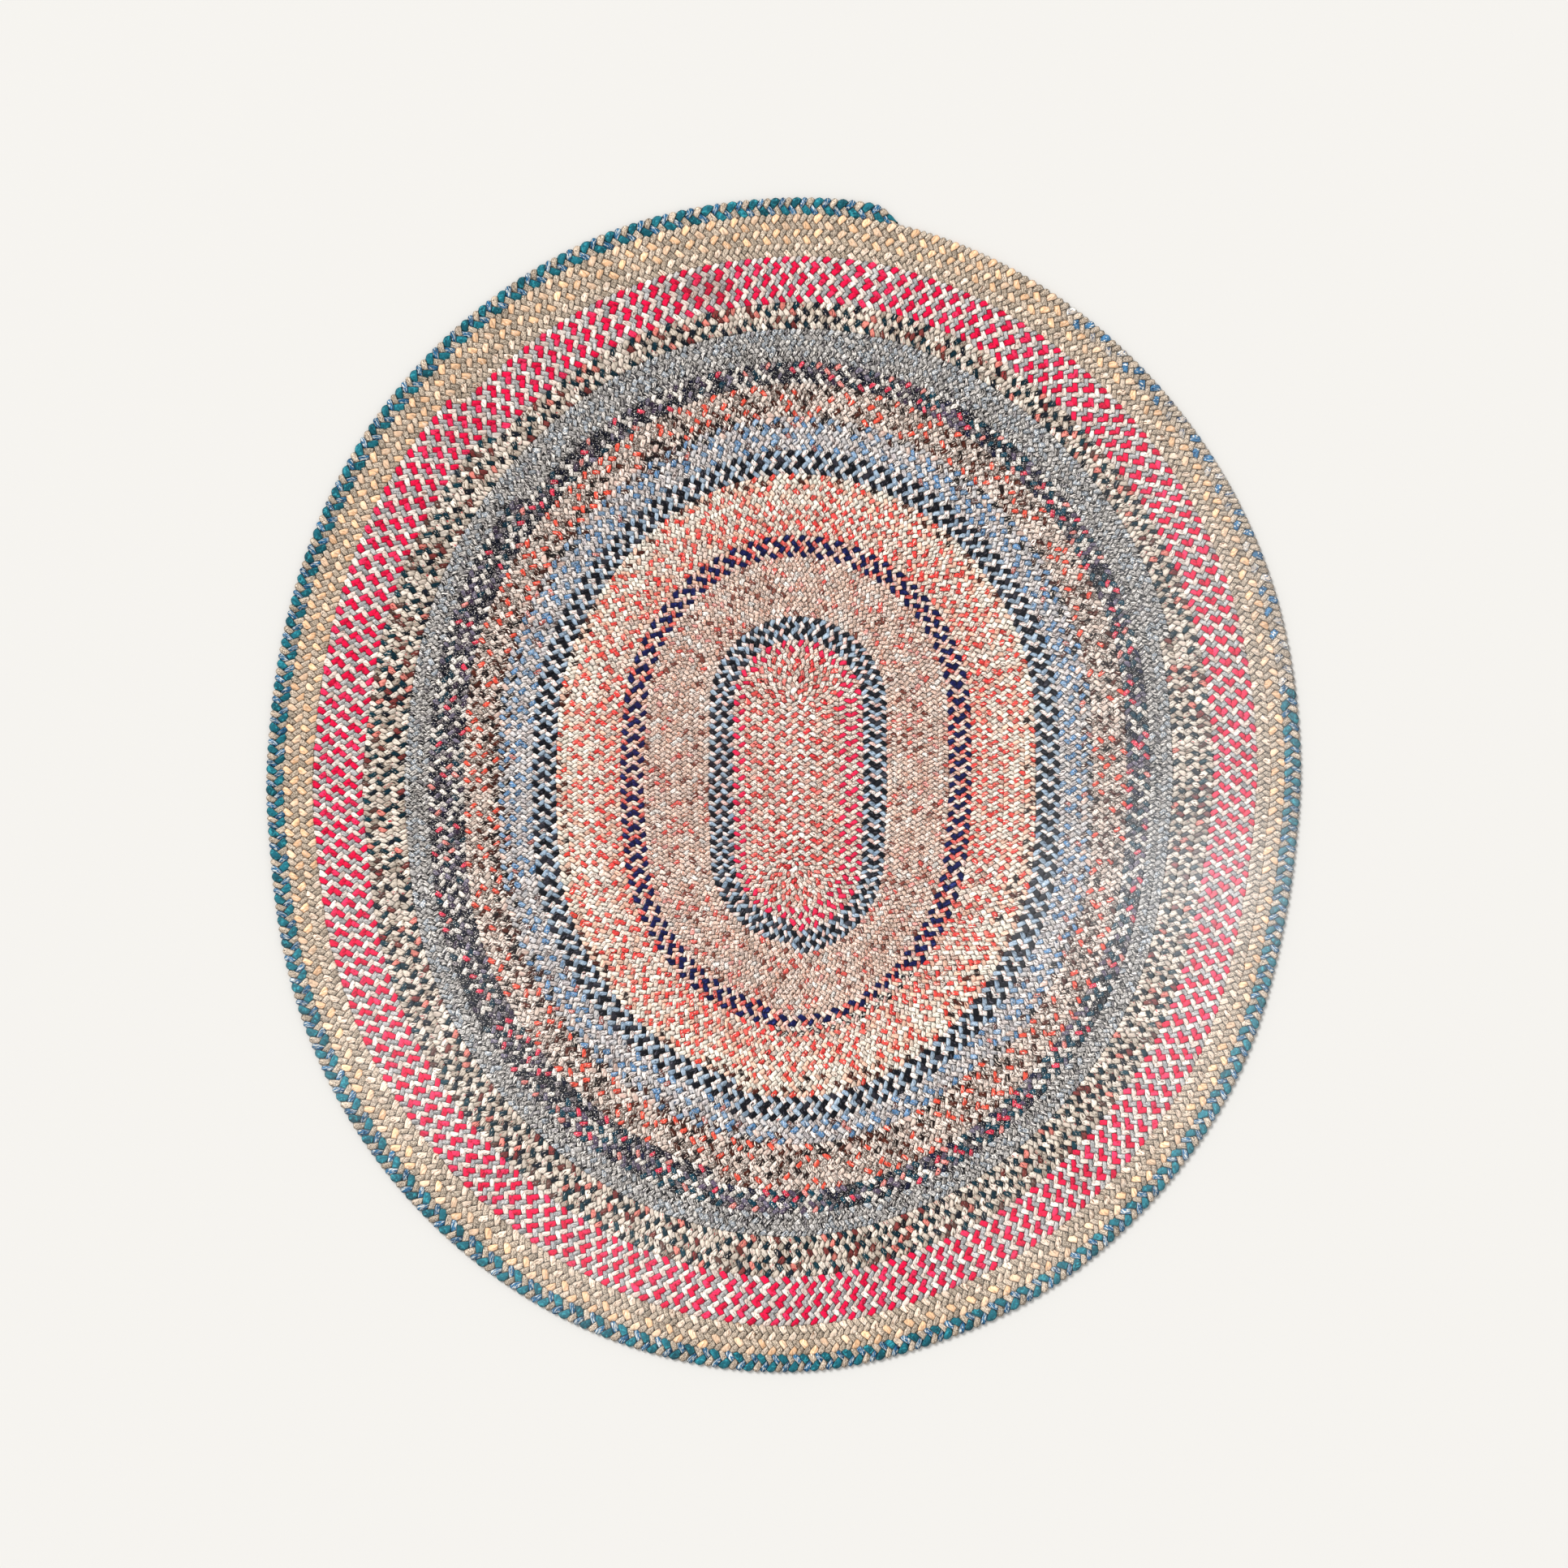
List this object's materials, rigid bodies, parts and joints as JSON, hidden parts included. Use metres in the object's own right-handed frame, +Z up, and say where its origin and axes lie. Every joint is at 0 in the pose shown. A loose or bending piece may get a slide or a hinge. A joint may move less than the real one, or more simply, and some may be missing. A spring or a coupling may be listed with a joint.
{
  "type": "oval braided rug",
  "caption": "Oval floor rug: one three-strand rag braid wound outward in flat laced rows, with bands of coloured cloth and a tapered tail at the rim.",
  "frame": {"origin": "on the surface the rug lies on, under the middle of its outline", "axes": "+Z up out of the floor, +Y along the long way of the oval towards the braid's tail, +X across it to the right"},
  "size_m": [1.5881, 1.8039, 0.009],
  "materials": {
    "rag_braid": "matte braided cloth strips"
  },
  "bodies": {
    "root": {"braided_rug": "rag_braid"}
  },
  "joints": []
}
